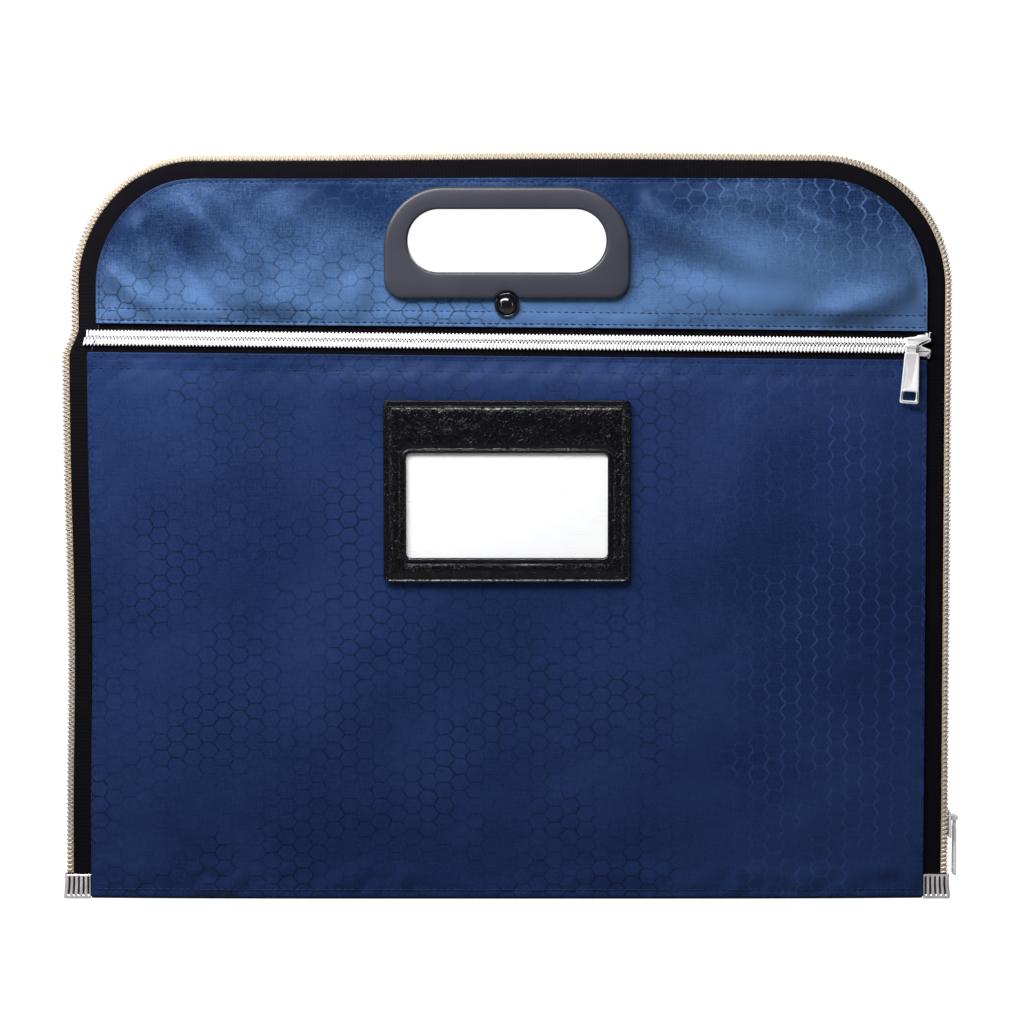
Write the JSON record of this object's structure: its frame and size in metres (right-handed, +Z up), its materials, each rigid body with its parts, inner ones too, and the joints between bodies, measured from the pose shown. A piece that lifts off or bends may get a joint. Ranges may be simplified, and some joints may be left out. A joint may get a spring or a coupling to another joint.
{
  "type": "cash deposit bag",
  "caption": "Flat soft deposit bag with a zip round three sides, a zipped front pocket, a plastic hand grip, a snap and a clear card holder.",
  "frame": {"origin": "middle of the flat underside of the bottom fold", "axes": "+X to the right seen from the front, -Y out of the front, +Z up"},
  "size_m": [0.3771, 0.0198, 0.3135],
  "materials": {
    "navy_nylon": "satin navy nylon with a woven hexagon pattern",
    "lining_cloth": "thin matt navy lining",
    "black_tape": "ribbed black zip tape",
    "cream_coil": "cream and gold nylon coil",
    "silver_coil": "silver white nylon coil",
    "slider_metal": "plated zip slider and pull",
    "clip_steel": "bright stamped clip",
    "snap_metal": "plated snap parts",
    "grey_plastic": "satin dark grey moulded plastic",
    "black_gloss": "polished black cap",
    "black_vinyl": "glossy black crinkled vinyl",
    "clear_film": "clear flexible film",
    "card_paper": "blank white card"
  },
  "bodies": {
    "root": {"back_panel": "navy_nylon", "bottom_fold": "navy_nylon", "main_zip_tape_back": "black_tape", "main_zip_coil_back": "cream_coil", "end_clip_left": "clip_steel", "end_clip_right": "clip_steel", "zip_tail_left": "black_tape", "zip_tail_right": "black_tape", "back_handle_plate": "grey_plastic", "back_handle_ring": "grey_plastic", "snap_stud": "snap_metal", "snap_back_cap": "black_gloss"},
    "front_leaf": {"front_upper_panel": "navy_nylon", "pocket_panel": "navy_nylon", "pocket_lining": "lining_cloth", "main_zip_tape_front": "black_tape", "main_zip_coil_front": "cream_coil", "front_handle_plate": "grey_plastic", "front_handle_ring": "grey_plastic", "snap_cap": "black_gloss", "snap_socket": "snap_metal", "pocket_zip_tape_upper": "black_tape", "pocket_zip_tape_lower": "black_tape", "pocket_zip_coil_upper": "silver_coil", "pocket_zip_coil_lower": "silver_coil", "card_holder_back": "black_vinyl", "card_holder_face": "black_vinyl", "card_window": "clear_film"},
    "name_card": {"name_card": "card_paper"},
    "pocket_slider": {"pocket_slider_body": "slider_metal"},
    "pocket_pull": {"pocket_pull_tab": "slider_metal"},
    "main_slider": {"main_slider_body": "slider_metal"},
    "main_pull": {"main_pull_tab": "slider_metal"}
  },
  "joints": [
    {"name": "mouth_open", "type": "hinge", "parent": "root", "child": "front_leaf", "pos_m": [0, -0.00585, 0.00615], "axis": [1, 0, 0], "range_deg": [0, 80]},
    {"name": "name_card_slide", "type": "slide", "parent": "front_leaf", "child": "name_card", "axis": [0, 0, 1], "range_m": [0, 0.08]},
    {"name": "pocket_slide", "type": "slide", "parent": "front_leaf", "child": "pocket_slider", "axis": [-1, 0, 0.0095], "range_m": [0, 0.34]},
    {"name": "pocket_pull_lift", "type": "hinge", "parent": "pocket_slider", "child": "pocket_pull", "pos_m": [0.16899, -0.0082, 0.23339], "axis": [-1, 0, 0.0095], "range_deg": [0, 160]},
    {"name": "main_slide", "type": "slide", "parent": "root", "child": "main_slider", "axis": [0, 0, 1], "range_m": [0, 0.21]},
    {"name": "main_pull_lift", "type": "hinge", "parent": "main_slider", "child": "main_pull", "pos_m": [0.1889, 0, 0.0342], "axis": [0, -1, 0], "range_deg": [0, 160]}
  ]
}
